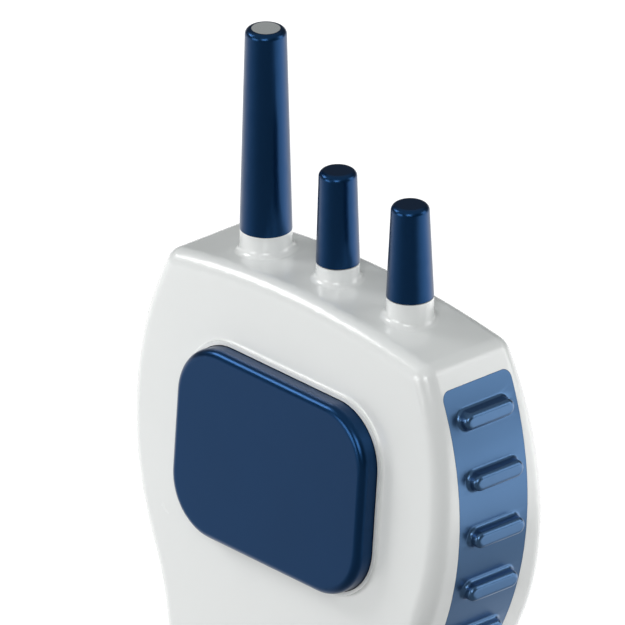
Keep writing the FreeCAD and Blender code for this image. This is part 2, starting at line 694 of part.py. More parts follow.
def contact_spring(column):
    """A coil pressed between the tray's end and the flat end of a cell."""
    wire = size("spring_wire")
    floor = -size("tray_length") / 2
    room = CELL_BOTTOM - floor - 2 * wire
    frame = cell_frame(column).multiply(Placement(Vector(0, 0, floor + wire), Rotation()))
    return coil_spring(f"contact_spring_{column + 1}", "sizes.spring_radius", "sizes.spring_wire",
                       f"{room} / sizes.spring_turns", str(room), frame)


# ---------------------------------------------------------------- push-to-talk button and its switch

def talk_button():
    """A hollow cap standing through the rim, with a stop flange inside the wall and a plunger."""
    front = BUTTON_DEPTH
    stop = WALL + size("stop_gap")
    cap = plate("button_cap", "sizes.button_width", "sizes.button_height", "sizes.button_round", stop + 0.5,
                f"{front + stop + 0.5}", BUTTON_FRAME)
    round_body_edges(cap, cap.Tip, "button_cap_round", size("button_edge"), lambda p: abs(p.y + front) < TINY)
    grow = "2 * sizes.flange_width"
    flange = plate("button_flange", f"sizes.button_width + {grow}", f"sizes.button_height + {grow}",
                   "sizes.button_round + sizes.flange_width", stop + size("flange_thick"),
                   "sizes.flange_thick", BUTTON_FRAME)
    skin = size("button_skin")
    hollow = plate("button_hollow", f"sizes.button_width - {2 * skin}", f"sizes.button_height - {2 * skin}",
                   f"sizes.button_round - {skin}", stop + 5, f"{front + stop + 5 - skin}", BUTTON_FRAME)
    plunger = cylinder("plunger", "sizes.plunger_radius",
                       str(SWITCH_FRONT - size("stem_height") + front - skin / 2),
                       (0, -front + skin / 2, 0), (0, 1, 0), BUTTON_FRAME)
    spans = ((str(size("button_width") - skin), "1.2"), ("1.2", str(size("button_height") - skin)))
    middle = (0, (stop - front + 1.0) / 2, 0)
    ribs = [box(f"button_rib_{k}", across, str(front + stop), up, middle, BUTTON_FRAME)
            for k, (across, up) in enumerate(spans)]
    shell = cut("button_shell", join("button_blank", [cap, flange]), [hollow])
    return join("talk_button", [shell, plunger] + ribs)


SWITCH_FRONT = size("board_depth") - size("switch_depth")


def talk_switch():
    """The tactile switch on the board and the stem that the plunger pushes."""
    side = "sizes.switch_size"
    body = box("switch_block", side, "sizes.switch_depth", side,
               (0, SWITCH_FRONT + size("switch_depth") / 2, 0), BUTTON_FRAME)
    deep = size("button_travel") + 0.4
    bore = cylinder("switch_bore", "sizes.stem_radius + 0.06", str(deep + 1), (0, SWITCH_FRONT - 1, 0),
                    (0, 1, 0), BUTTON_FRAME)
    stem = cylinder("talk_stem", "sizes.stem_radius", "sizes.stem_height + 0.3",
                    (0, SWITCH_FRONT - size("stem_height"), 0),
                    (0, 1, 0), BUTTON_FRAME)
    return cut("talk_switch_body", body, [bore]), stem


# ---------------------------------------------------------------- boards and their parts

def main_board():
    """The main circuit board: a wide head behind the button and a narrow tail, on four posts."""
    near, thick = size("board_depth"), size("board_thick")
    top, shoulder, bottom = size("board_top"), -size("board_shoulder"), -size("board_bottom")
    head = box("board_head", "sizes.board_width", "sizes.board_thick", str(top - shoulder),
               (0, near + thick / 2, (top + shoulder) / 2), BUTTON_FRAME)
    tail = box("board_tail", "sizes.board_tail_width", "sizes.board_thick", str(top - bottom),
               (0, near + thick / 2, (top + bottom) / 2), BUTTON_FRAME)
    holes = [cylinder(f"board_hole_{k}", "sizes.screw_radius + 0.15", "6", (x, near - 2, z), (0, 1, 0),
                      BUTTON_FRAME)
             for k, (x, z) in enumerate(BOARD_POSTS, start=1)]
    return cut("main_board", join("board_blank", [head, tail]), holes)


def board_box(name, sizes_xyz, x, z, behind=True):
    """A block standing on the main board, behind it or in front of it."""
    base = size("board_depth") + (size("board_thick") + sizes_xyz[1] / 2 if behind else -sizes_xyz[1] / 2)
    return box(name, *[str(v) for v in sizes_xyz], (x, base, z), BUTTON_FRAME)


def board_can(name, radius, height, x, z, behind=True):
    """A round can standing on the main board, behind it or in front of it."""
    near = size("board_depth") + (size("board_thick") if behind else -height)
    return cylinder(name, str(radius), str(height), (x, near, z), (0, 1, 0), BUTTON_FRAME)


def board_parts():
    """The radio's parts: a chip, a crystal can, shielded coils, capacitors and a small transistor row."""
    chip = board_box("radio_chip", (9.0, 1.5, 6.0), -9.0, -2.0)
    crystal = board_box("crystal_can", (10.0, 3.5, 4.0), 12.0, 3.0)
    coils = group("tuning_coils", [board_box(f"coil_can_{k + 1}", (5.0, 5.5, 5.0), 7.0 + 7.0 * k, -5.0)
                                   for k in range(3)])
    caps = group("capacitors", [board_can(f"capacitor_{k + 1}", 2.2, 5.0, x, z) for k, (x, z) in
                                enumerate(((-18.0, 1.0), (-18.0, -6.5), (-4.5, -15.0)))])
    transistors = group("transistors", [board_box(f"transistor_{k + 1}", (4.0, 3.0, 3.5), 8.0 * k - 12.0, -24.0)
                                        for k in range(4)])
    return [chip, crystal, coils, caps, transistors]


def control_shelf():
    """The small upper board that carries the volume and channel controls."""
    middle = SHELF_TOP - size("shelf_thick") / 2
    return box("control_board", "sizes.shelf_width", "sizes.shelf_depth", "sizes.shelf_thick", (0, 0, middle))


def board_header():
    """The angled pin strip that joins the upper board to the main board."""
    return board_box("board_header", (14.0, 2.0, 4.0), -14.0, size("board_top") - 2.4)


def turning_control(name, x):
    """A rotary control under the top wall, its shaft and the knob pressed on it."""
    floor = SHELF_TOP
    body = box(f"{name}_block", "sizes.control_size", "sizes.control_size", "sizes.control_height",
               (x, 0, floor + size("control_height") / 2))
    neck = cylinder(f"{name}_neck", "3.0", "sizes.control_height + 3.8", (x, 0, floor))
    bore = cylinder(f"{name}_bore", RUNNING_BORE, "30", (x, 0, floor + 1.0))
    control = cut(f"{name}_control", join(f"{name}_blank", [body, neck]), [bore])
    top = COLLAR_TOP + size("knob_gap") + size("shaft_depth")
    shaft = cylinder(f"{name}_shaft", "sizes.shaft_radius", str(top - floor - 1.3), (x, 0, floor + 1.3))
    start = (x, 0, COLLAR_TOP + size("knob_gap"))
    taper = cone(f"{name}_taper", f"sizes.{name}_radius", "sizes.knob_top_radius", "sizes.knob_height", start)
    crest = start[2] + size("knob_height")
    rounded = round_edges(f"{name}_round", taper, size("knob_edge"), lambda p: abs(p.z - crest) < TINY)
    socket = cylinder(f"{name}_socket", "sizes.shaft_radius", "sizes.shaft_depth + 1", (x, 0, start[2] - 1))
    return control, shaft, cut(f"{name}_knob", rounded, [socket])


# ---------------------------------------------------------------- antenna

def antenna():
    """A soft tapered sleeve over a loading coil, a metal disc in its end and a ferrule through the wall."""
    x = CONTROLS["antenna"]
    taper = cone("antenna_taper", "sizes.antenna_radius", "sizes.antenna_top_radius",
                 "sizes.antenna_height", (x, 0, COLLAR_TOP))
    crest = COLLAR_TOP + size("antenna_height")
    rounded = round_edges("antenna_round", taper, size("knob_edge"), lambda p: abs(p.z - crest) < TINY)
    grip = cylinder("sleeve_socket", "sizes.ferrule_radius", "sizes.ferrule_grip + 1", (x, 0, COLLAR_TOP - 1))
    bore = cylinder("sleeve_bore", "sizes.antenna_bore", "sizes.antenna_height - 3", (x, 0, COLLAR_TOP - 0.5))
    seat = cylinder("tip_seat", "sizes.tip_radius", "3", (x, 0, crest - size("tip_thick")))
    sleeve = cut("antenna_sleeve", rounded, [grip, bore, seat])
    tip = cylinder("antenna_tip", "sizes.tip_radius", "sizes.tip_thick", (x, 0, crest - size("tip_thick")))
    flange = cylinder("ferrule_foot", "sizes.ferrule_flange", "1.6", (x, 0, BOSS_BOTTOM - 1.6))
    stem_top = COLLAR_TOP + size("ferrule_grip")
    stem = cylinder("ferrule_stem", "sizes.ferrule_radius", str(stem_top - BOSS_BOTTOM + 0.8),
                    (x, 0, BOSS_BOTTOM - 0.8))
    lug = cylinder("ferrule_lug", "1.0", "3.0", (x, 0, BOSS_BOTTOM - 4.4))
    ferrule = join("antenna_ferrule", [flange, stem, lug])
    length = size("antenna_height") - size("ferrule_grip") - 6.0
    frame = Placement(Vector(x, 0, stem_top + size("coil_wire")), Rotation())
    coil = coil_spring("antenna_coil", "sizes.coil_radius", "sizes.coil_wire", "sizes.coil_pitch",
                       str(length), frame)
    return sleeve, tip, ferrule, coil


# ---------------------------------------------------------------- speaker and microphone

def front_cone(name, radius, far_radius, length, start):
    """A cone in the speaker's frame, running inwards from its start depth; the sizes are expressions."""
    shape = doc.addObject("Part::Cone", name)
    bind(shape, {"Radius1": radius, "Radius2": far_radius, "Height": length})
    shape.Placement = SPEAKER_FRAME.multiply(Placement(Vector(0, start, 0),
                                                       Rotation(Vector(0, 0, 1), Vector(0, 1, 0))))
    return shape


def speaker():
    """A small moving-coil speaker behind the slots: gasket, basket, cone and magnet."""
    near = WALL
    gasket = cut("speaker_gasket",
                 cylinder("gasket_outer", "sizes.speaker_radius", "sizes.gasket_thick", (0, near, 0),
                          (0, 1, 0), SPEAKER_FRAME),
                 [cylinder("gasket_hole", "sizes.speaker_radius - 2", "4", (0, near - 1, 0), (0, 1, 0),
                           SPEAKER_FRAME)])
    start = near + size("gasket_thick")
    rim = cylinder("basket_rim", "sizes.speaker_radius", "1.2", (0, start, 0), (0, 1, 0), SPEAKER_FRAME)
    bowl = front_cone("basket_bowl", "sizes.speaker_radius - 0.6", "sizes.speaker_radius - 5.5",
                      "sizes.speaker_depth", start)
    space = front_cone("basket_space", "sizes.speaker_radius - 1.8", "sizes.speaker_radius - 6.5",
                       "sizes.speaker_depth - 1.2", start)
    basket = cut("speaker_basket", join("basket_blank", [rim, bowl]), [space])
    outer = front_cone("paper_outer", "sizes.speaker_radius - 2.7", "sizes.speaker_radius - 12.5",
                       "sizes.speaker_depth - 1.8", start + 0.4)
    dish = front_cone("paper_dish", "sizes.speaker_radius - 3.1", "sizes.speaker_radius - 12.9",
                      "sizes.speaker_depth - 1.8", start + 0.1)
    dome = doc.addObject("Part::Sphere", "paper_dome")
    dome.Radius = 6.5
    dome.Placement = SPEAKER_FRAME.multiply(Placement(Vector(0, start + 7.0, 0), Rotation()))
    band = cylinder("dome_band", "8", "3", (0, start + 0.4, 0), (0, 1, 0), SPEAKER_FRAME)
    cap = common("dome_cap", dome, band)
    paper = join("speaker_cone", [cut("paper", outer, [dish]), cap])
    magnet = cylinder("speaker_magnet", "sizes.magnet_radius", "sizes.magnet_depth",
                      (0, start + size("speaker_depth"), 0), (0, 1, 0), SPEAKER_FRAME)
    return gasket, basket, paper, magnet


def microphone():
    """A capsule in a soft boot behind its small hole."""
    at = (size("mic_across"), WALL, 0)
    boot = cylinder("boot_outer", "sizes.mic_radius + sizes.boot_wall", "sizes.mic_depth + 0.6", at,
                    (0, 1, 0), MIC_FRAME)
    seat = cylinder("boot_seat", "sizes.mic_radius", "sizes.mic_depth + 4", (at[0], WALL + 0.6, 0),
                    (0, 1, 0), MIC_FRAME)
    port = cylinder("boot_port", "sizes.mic_hole", "4", (at[0], WALL - 1, 0), (0, 1, 0), MIC_FRAME)
    capsule = cylinder("microphone", "sizes.mic_radius", "sizes.mic_depth", (at[0], WALL + 0.6, 0),
                       (0, 1, 0), MIC_FRAME)
    return cut("microphone_boot", boot, [seat, port]), capsule


# ---------------------------------------------------------------- leads between the pieces

def lead(name, points, bend):
    """An insulated wire along straight runs that meet at right angles, each corner a round bend."""
    path = [Vector(point) for point in points]
    edges = []
    start = path[0]
    for before, corner, after in zip(path, path[1:], path[2:]):
        enter = corner + (before - corner).normalize() * bend
        leave = corner + (after - corner).normalize() * bend
        middle = corner + ((enter + leave) * 0.5 - corner) * (2 - math.sqrt(2))
        edges += [Part.LineSegment(start, enter).toShape(), Part.Arc(enter, middle, leave).toShape()]
        start = leave
    edges.append(Part.LineSegment(start, path[-1]).toShape())
    ring = Part.Wire(Part.Circle(path[0], path[1] - path[0], size("lead_radius")).toShape())
    wire = doc.addObject("Part::Feature", name)
    wire.Shape = Part.Wire(edges).makePipeShell([ring], True, True)
    return wire


def leads():
    """Battery, speaker, microphone and antenna leads, each from its terminal to a board."""
    bend = 3 * size("lead_radius")
    board_back = BUTTON_FRAME.multVec(Vector(0, size("board_depth") + size("board_thick"), -32.0))
    board_front = BUTTON_FRAME.multVec(Vector(0, size("board_depth"), -33.5))
    tray_end = TRAY_FRAME.multVec(Vector(0, -TRAY_DEPTH, size("tray_length") / 2 + size("tray_wall")))
    terminal = SPEAKER_FRAME.multVec(Vector(0, 5.4, 15.0))
    capsule = MIC_FRAME.multVec(Vector(0, WALL + 0.6 + size("mic_depth"), 0))
    made = []
    for name, x in (("red", -8.0), ("black", 8.0)):
        made.append(lead(f"battery_lead_{name}", [(x, tray_end.y, tray_end.z + 0.2),
                                                  (x, tray_end.y, board_back.z),
                                                  (x, board_back.y + 0.05, board_back.z)], bend))
    back = terminal.y + 5.0
    for name, x in (("red", -3.0), ("black", 3.0)):
        made.append(lead(f"speaker_lead_{name}", [(x, terminal.y, terminal.z), (x, back, terminal.z),
                                                  (x, back, board_front.z),
                                                  (x, board_front.y - 0.05, board_front.z)], bend))
    x = size("mic_across") - 1.0
    behind = capsule.y + 3.6
    route = [(x, capsule.y + 0.1, capsule.z), (x, behind, capsule.z), (x, behind, board_front.z),
             (x, board_front.y - 0.05, board_front.z)]
    made.append(lead("microphone_lead_yellow", route, bend))
    x = CONTROLS["antenna"]
    made.append(lead("antenna_lead_yellow", [(x, 0, SHELF_TOP + 0.02), (x, 0, BOSS_BOTTOM - 4.42)], bend))
    return made


# ---------------------------------------------------------------- assembly and export

def build():
    """Makes every node and returns them in order."""
    outer, housing = housing_parts()
    nodes = [housing, back_cover(), battery_door()]
    nodes += grips(outer)
    nodes += screws()
    for column in range(3):
        nodes += [battery(column), contact_spring(column)]
    nodes.append(group("contact_plates", [contact_plate(column) for column in range(3)]))
    nodes.append(talk_button())
    nodes += talk_switch()
    nodes.append(main_board())
    nodes += board_parts()
    nodes += [control_shelf(), board_header()]
    nodes += turning_control("volume", CONTROLS["volume"])
    nodes += turning_control("channel", CONTROLS["channel"])
    nodes += antenna()
    nodes += speaker()
    nodes += microphone()
    nodes += leads()
    return nodes


def check(nodes):
    """Stops if any object failed or any node is not a valid solid."""
    bad = [thing.Name for thing in doc.Objects if {"Invalid", "Error"} & set(thing.State)]
    if bad:
        raise RuntimeError("failed objects: " + ", ".join(bad))
    for node in nodes:
        shape = node.Shape
        if shape.isNull() or not shape.isValid() or not shape.Solids:
            raise RuntimeError("bad shape: " + node.Label)


nodes = build()
doc.recompute()
check(nodes)
os.makedirs("parts", exist_ok=True)
for node in nodes:
    node.Shape.exportStep(f"parts/{node.Label}.step")
    print(f"{node.Label}: {len(node.Shape.Solids)} solid(s), {node.Shape.Volume:.1f} mm3")
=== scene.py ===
# %% [markdown]
# # A toy walkie talkie
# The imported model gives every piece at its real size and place. This lesson dresses those pieces:
# it smooths their shading, gives each one the finish of its real material, and lights them like a
# small product on a pale studio table. Everything is in metres, with the base of the radio at z = 0,
# its front towards -Y and its antenna pointing up +Z.

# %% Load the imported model
import math

import bpy
import numpy as np
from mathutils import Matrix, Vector


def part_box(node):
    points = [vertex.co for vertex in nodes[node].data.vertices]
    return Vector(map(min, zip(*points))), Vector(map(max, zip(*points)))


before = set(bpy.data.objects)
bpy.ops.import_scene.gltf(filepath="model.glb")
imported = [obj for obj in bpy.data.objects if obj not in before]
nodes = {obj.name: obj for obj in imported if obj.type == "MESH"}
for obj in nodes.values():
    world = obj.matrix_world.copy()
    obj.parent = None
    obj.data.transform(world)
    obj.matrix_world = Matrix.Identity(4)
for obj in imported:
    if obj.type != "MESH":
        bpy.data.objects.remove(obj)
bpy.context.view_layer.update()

MM = 0.001

# %% [markdown]
# ## Camera
# The view is nearly parallel: a very long lens from far away keeps the sides of the radio straight,
# as in a drawing. The camera looks from the front right and from above, and the frame leaves the
# lower part of the radio out, so the button and the controls fill it.

# %% Camera
VIEW_AZIMUTH = math.radians(47.87)
VIEW_ELEVATION = math.radians(25.57)
FRAME_WIDTH = 97.35 * MM
LENS = 1500.0
SENSOR = 36.0
NEAREST, FARTHEST = 0.1, 100.0
AIM = Vector((-5.87 * MM, 0.0, 116.86 * MM))


def direction(azimuth, elevation):
    """Unit vector towards a viewer: azimuth 0 is straight in front (-Y), 90 degrees is +X."""
    flat = math.cos(elevation)
    return Vector((math.sin(azimuth) * flat, -math.cos(azimuth) * flat, math.sin(elevation)))


def make_camera():
    """A long-lens camera whose frame is FRAME_WIDTH wide where it is aimed."""
    data = bpy.data.cameras.new("studio_camera")
    data.lens = LENS
    data.sensor_width = SENSOR
    data.clip_start = NEAREST
    data.clip_end = FARTHEST
    camera = bpy.data.objects.new("studio_camera", data)
    back = direction(VIEW_AZIMUTH, VIEW_ELEVATION)
    camera.location = AIM + back * (LENS * FRAME_WIDTH / SENSOR)
    camera.rotation_euler = (-back).to_track_quat("-Z", "Y").to_euler()
    bpy.context.scene.collection.objects.link(camera)
    bpy.context.scene.camera = camera
    return camera


camera = make_camera()
bpy.context.scene.view_settings.view_transform = "Standard"
print("camera distance", round((camera.location - AIM).length, 3), "m")

# %% [markdown]
# ## Smooth shading for CAD pieces
# A CAD mesh is loose triangles. Three modifiers make it shade like moulded plastic without moving a
# vertex: Weld joins the triangles, a small node group marks only real corners as sharp, and Weighted
# Normal lets the large faces stay flat while the narrow fillets carry the whole turn of the light.

# %% Shading modifiers
SHARP_ANGLE = math.radians(28)
WELD_DISTANCE = 0.0005 * MM
LARGE_FACE_WEIGHT = 90


def corner_group():
    """A node group: every face smooth, then every edge that turns more than SHARP_ANGLE sharp."""
    group = bpy.data.node_groups.new("sharp_corners", "GeometryNodeTree")
    group.interface.new_socket("Geometry", in_out="INPUT", socket_type="NodeSocketGeometry")
    group.interface.new_socket("Geometry", in_out="OUTPUT", socket_type="NodeSocketGeometry")
    start = group.nodes.new("NodeGroupInput")
    end = group.nodes.new("NodeGroupOutput")
    angle = group.nodes.new("GeometryNodeInputMeshEdgeAngle")
    above = group.nodes.new("FunctionNodeCompare")
    above.data_type = "FLOAT"
    above.operation = "GREATER_THAN"
    above.inputs["B"].default_value = SHARP_ANGLE
    faces = group.nodes.new("GeometryNodeSetShadeSmooth")
    edges = group.nodes.new("GeometryNodeSetShadeSmooth")
    edges.domain = "EDGE"
    edges.inputs["Shade Smooth"].default_value = False
    link = group.links.new
    link(start.outputs["Geometry"], faces.inputs["Geometry"])
    link(faces.outputs["Geometry"], edges.inputs["Geometry"])
    link(angle.outputs["Unsigned Angle"], above.inputs["A"])
    link(above.outputs["Result"], edges.inputs["Selection"])
    link(edges.outputs["Geometry"], end.inputs["Geometry"])
    return group


def shade_like_a_moulding(piece, group):
    """Adds the three shading modifiers to one CAD piece."""
    weld = piece.modifiers.new("weld", "WELD")
    weld.merge_threshold = WELD_DISTANCE
    corners = piece.modifiers.new("corners", "NODES")
    corners.node_group = group
    weighted = piece.modifiers.new("weighted", "WEIGHTED_NORMAL")
    weighted.keep_sharp = True
    weighted.weight = LARGE_FACE_WEIGHT


sharp_corners = corner_group()
for piece in nodes.values():
    shade_like_a_moulding(piece, sharp_corners)
print("smoothed", len(nodes), "pieces")

# %% [markdown]
# ## Colours and shader nodes
# Colours are written as sRGB hex, as a paint chart gives them, and one function turns them into the
# linear values that the shader works in. One more function adds a node with its settings and links;
# every material below is built from those two.

# %% Helpers for materials


def linear(hex_colour):
    """sRGB hex to linear RGBA by the sRGB curve, which is a straight line near black."""
    channels = np.array([int(hex_colour[i:i + 2], 16) for i in (0, 2, 4)]) / 255.0
    bright = ((channels + 0.055) / 1.055) ** 2.4
    return (*np.where(channels > 0.04045, bright, channels / 12.92).tolist(), 1.0)


def add(tree, kind, settings=None, **links):
    """Adds a node. Settings go to its properties or sockets, and links join outputs to its sockets."""
    node = tree.nodes.new(kind)
    for name, value in (settings or {}).items():
        if isinstance(name, str) and name in node.bl_rna.properties:
            setattr(node, name, value)
        else:
            node.inputs[name].default_value = value
    for name, output in links.items():
        tree.links.new(output, node.inputs[name.replace("_", " ")])
    return node


def new_material(name):
    """An empty node material with its Principled shader wired to the output."""
    material = bpy.data.materials.new(name)
    material.use_nodes = True
    tree = material.node_tree
    return material, tree, tree.nodes["Principled BSDF"]


def per_metre(size_mm):
    """The noise or wave scale whose features are about size_mm across."""
    return 1.0 / (size_mm * MM)


print("mid grey in linear light:", round(linear("808080")[0], 3))

# %% [markdown]
# ## One recipe for a made surface
# No real surface is one flat colour. Every finish here starts from the same three layers: a slow
# drift between two close colours, soft patches of more and less gloss, and a fine grain that bends
# the highlights as bump. A finish that needs more, such as turning marks or printed bands, passes a
# pattern: a function that returns a 0-to-1 mask, which brings in a second colour and a step in height.
# A clear coat stands for the resin-rich skin of a moulding, softer than a lacquer. Real grain is
# mostly too fine to see from here, so each grain size is as coarse as it needs to be to show.

# %% The surface recipe
DRIFT_MM = 18.0
GLOSS_SPREAD = 0.03
COAT_ROUGHNESS = 0.22


def surface(name, base, drift, roughness, grain_mm, grain_depth_mm, metallic=0.0, specular=0.5,
            coat=0.0, patch_mm=7.0, pattern=None, pattern_colour=None, pattern_depth_mm=0.0):
    """A material from two close colours, a middle roughness and the size and depth of its grain."""
    material, tree, shader = new_material(name)
    place = add(tree, "ShaderNodeTexCoord").outputs["Object"]

    slow = add(tree, "ShaderNodeTexNoise", {"Scale": per_metre(DRIFT_MM), "Detail": 3.0}, Vector=place)
    colour = add(tree, "ShaderNodeMix", {"data_type": "RGBA", 6: linear(base), 7: linear(drift)})
    tree.links.new(slow.outputs["Fac"], colour.inputs[0])

    patch = add(tree, "ShaderNodeTexNoise", {"Scale": per_metre(patch_mm), "Detail": 4.0}, Vector=place)
    limits = {"To Min": roughness - GLOSS_SPREAD, "To Max": roughness + GLOSS_SPREAD}
    gloss = add(tree, "ShaderNodeMapRange", limits, Value=patch.outputs["Fac"])

    grain = add(tree, "ShaderNodeTexNoise", {"Scale": per_metre(grain_mm), "Detail": 2.0}, Vector=place)
    height = {"Strength": 1.0, "Distance": grain_depth_mm * MM}
    bump = add(tree, "ShaderNodeBump", height, Height=grain.outputs["Fac"])

    if pattern is not None:
        mask = pattern(tree, place)
        second = add(tree, "ShaderNodeMix", {"data_type": "RGBA", 7: linear(pattern_colour)})
        tree.links.new(mask, second.inputs[0])
        tree.links.new(colour.outputs[2], second.inputs[6])
        height = {"Strength": 1.0, "Distance": pattern_depth_mm * MM}
        step = add(tree, "ShaderNodeBump", height, Height=mask, Normal=bump.outputs["Normal"])
        colour, bump = second, step

    tree.links.new(colour.outputs[2], shader.inputs["Base Color"])
    tree.links.new(gloss.outputs["Result"], shader.inputs["Roughness"])
    tree.links.new(bump.outputs["Normal"], shader.inputs["Normal"])
    shader.inputs["Metallic"].default_value = metallic
    shader.inputs["Specular IOR Level"].default_value = specular
    shader.inputs["Coat Weight"].default_value = coat
    shader.inputs["Coat Roughness"].default_value = COAT_ROUGHNESS
    return material


def dress(material, *names):
    """Puts one material on CAD pieces."""
    for name in names:
        mesh = nodes[name].data
        mesh.materials.clear()
        mesh.materials.append(material)
    print(material.name, "->", ", ".join(names))


print("colour drifts over", DRIFT_MM, "mm, roughness by", GLOSS_SPREAD, "either way")

# %% [markdown]
# ## Moulded plastics
# The housing is ABS from a polished steel mould: white, with a satin-gloss skin whose faint
# orange-peel waviness bends the highlights. The button, knobs and antenna are a navy plastic filled
# with fine pearl flakes. The flakes lie along the skin and reflect like tiny tinted mirrors, so the
# colour is dark where it faces the dark part of the room and bright blue along a lit edge: a high
# metallic value gives that. The grips are a softer navy rubber with a broader sheen. Their base
# colour is painted paler and greyer than the navy: a painted sheen that lightens the whole strip.

# %% Outer plastics
white_abs = surface("white_abs_satin_moulded", "EEF0EF", "EAECEB", 0.26, 1.6, 0.0008, coat=0.9)
navy_abs = surface("navy_abs_pearl_moulded", "0A3862", "08345B", 0.29, 1.6, 0.0008,
                   metallic=0.86, coat=0.08)
# The grips' base and drift colours are painted paler than their navy: a painted sheen.
navy_tpe_painted_sheen = surface("navy_tpe_soft_touch_painted_sheen", "4A6B91", "436489", 0.31, 0.9, 0.0012,
                   metallic=0.85, coat=0.12)
dress(white_abs, "housing", "back_cover", "battery_door")
dress(navy_abs, "talk_button", "volume_knob", "channel_knob", "antenna_sleeve")
dress(navy_tpe_painted_sheen, "right_grip", "left_grip")

# %% [markdown]
# ## Turned metals
# A lathe leaves fine rings about its axis, so the disc in the antenna's end, the shafts and the brass
# ferrule share a ring pattern centred on their own axis. The disc is satin aluminium, the shafts are
# darker steel and the ferrule is warm brass. The wave texture repeats every 0.314 of its scaled
# length, so its scale is that number over the ring pitch. The rings are drawn at 0.25 mm, coarser
# than a real tool mark, so that they show.

# %% Turned metals
WAVE_REPEAT = 0.314
RING_PITCH_MM = 0.25


def turned(x_mm):
    """Rings about the upright axis at x_mm: the mask is a sine of the distance from that axis."""
    def pattern(tree, place):
        middle = {"operation": "SUBTRACT", 1: (x_mm * MM, 0.0, 0.0)}
        moved = add(tree, "ShaderNodeVectorMath", middle)
        tree.links.new(place, moved.inputs[0])
        settings = {"wave_type": "RINGS", "rings_direction": "Z",
                    "Scale": WAVE_REPEAT * per_metre(RING_PITCH_MM), "Distortion": 0.4}
        return add(tree, "ShaderNodeTexWave", settings, Vector=moved.outputs["Vector"]).outputs["Fac"]
    return pattern


for name, material_name, base, drift, ring, roughness, grain_depth_mm in (
        ("antenna_tip", "aluminium_turned_disc", "F0F2F2", "E8EAEA", "DADDDE", 0.55, 0.0008),
        ("antenna_ferrule", "brass_turned_ferrule", "C9A55A", "B8934A", "AF8C46", 0.30, 0.001),
        ("volume_shaft", "steel_turned_volume_shaft", "A7A9AB", "989A9C", "86888A", 0.32, 0.001),
        ("channel_shaft", "steel_turned_channel_shaft", "A7A9AB", "989A9C", "86888A", 0.32, 0.001)):
    low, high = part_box(name)
    rings = turned((low[0] + high[0]) / 2 / MM)
    dress(surface(material_name, base, drift, roughness, 0.5, grain_depth_mm, metallic=1.0,
                  pattern=rings, pattern_colour=ring, pattern_depth_mm=0.002), name)

# %% [markdown]
# ## Plated, pressed and drawn metals
# Zinc plate on the screws is bluish with dull patches, nickel on the spring contacts is warmer and
# brighter, and tin on the cans is soft and cloudy. The speaker's basket is pressed sheet with a dull
# passivated skin. The coil is copper wire under clear brown enamel, which keeps it glossy.

# %% Sheet metals and wire
dress(surface("steel_zinc_plated", "B4B7BB", "A59F8C", 0.34, 0.3, 0.003, metallic=1.0, patch_mm=1.5),
      "cover_screws", "board_screws", "door_screw")
dress(surface("spring_steel_nickel_plated", "BDB8AC", "A9A498", 0.25, 0.4, 0.002,
              metallic=1.0, patch_mm=2.0),
      "contact_plates", "contact_spring_1", "contact_spring_2", "contact_spring_3")
dress(surface("steel_tinned_can", "C2C3C0", "ACADA8", 0.38, 0.25, 0.004, metallic=1.0, patch_mm=1.2),
      "crystal_can", "tuning_coils")
dress(surface("steel_pressed_zinc_basket", "9FA3A8", "8E8B7A", 0.42, 0.4, 0.006,
              metallic=1.0, patch_mm=2.5), "speaker_basket")
dress(surface("copper_enamelled_wire", "A4532B", "8A4020", 0.22, 0.3, 0.001,
              metallic=0.9, patch_mm=1.0), "antenna_coil")

# %% [markdown]
# ## Circuit boards
# A board is glass cloth in epoxy under a green solder mask. The copper tracks below the mask show as
# slightly raised, lighter lines. A brick pattern with offset rows gives a plausible routed grid: its
# mortar is the track, 0.45 mm wide, with rows 3 mm apart up the upright board.

# %% Circuit boards
TRACK_MM = 0.45
TRACK_ROW_MM = 3.0
TRACK_LENGTH_MM = 7.0


def tracks(tree, place):
    """Tracks on the XZ plane: 1 on the mortar lines of a brick grid, 0 between them."""
    flat = add(tree, "ShaderNodeSeparateXYZ", Vector=place)
    board = add(tree, "ShaderNodeCombineXYZ")
    tree.links.new(flat.outputs["X"], board.inputs["X"])
    tree.links.new(flat.outputs["Z"], board.inputs["Y"])
    settings = {"offset": 0.37, "squash": 0.6, "squash_frequency": 3, "Scale": per_metre(1.0),
                "Brick Width": TRACK_LENGTH_MM, "Row Height": TRACK_ROW_MM,
                "Mortar Size": TRACK_MM, "Mortar Smooth": 0.1}
    return add(tree, "ShaderNodeTexBrick", settings, Vector=board.outputs["Vector"]).outputs["Fac"]


dress(surface("epoxy_board_green_mask", "14592F", "104E29", 0.33, 0.5, 0.003, specular=0.55,
              pattern=tracks, pattern_colour="2C7F4A", pattern_depth_mm=0.035),
      "main_board", "control_board")

# %% [markdown]
# ## Moulded parts on the boards
# Chips are moulded in a black thermoset full of ground silica, which is matt with a fine sandy grain.
# The switch and the two controls are PBT, smoother and a little glossier, and the stem that the
# button pushes is red acetal, which looks waxy and even.

# %% Chips, switch and controls
dress(surface("thermoset_black_matt", "17181A", "212224", 0.55, 0.12, 0.006),
      "radio_chip", "transistors", "board_header")
dress(surface("pbt_black_switch", "1B1C1E", "26272A", 0.40, 0.4, 0.003),
      "talk_switch_body", "volume_control", "channel_control")
dress(surface("acetal_red_moulded", "A8231C", "961E18", 0.35, 0.5, 0.002), "talk_stem")

# %% [markdown]
# ## Sleeves with a printed band
# The cells and the electrolytic capacitors wear a glossy shrink sleeve, printed in one colour with a
# band in another. A mask along one axis of the piece prints the band.

# %% Cells and capacitors
BAND_EDGE_MM = 0.1
CELL_BAND_MM = (3.0, 14.0)


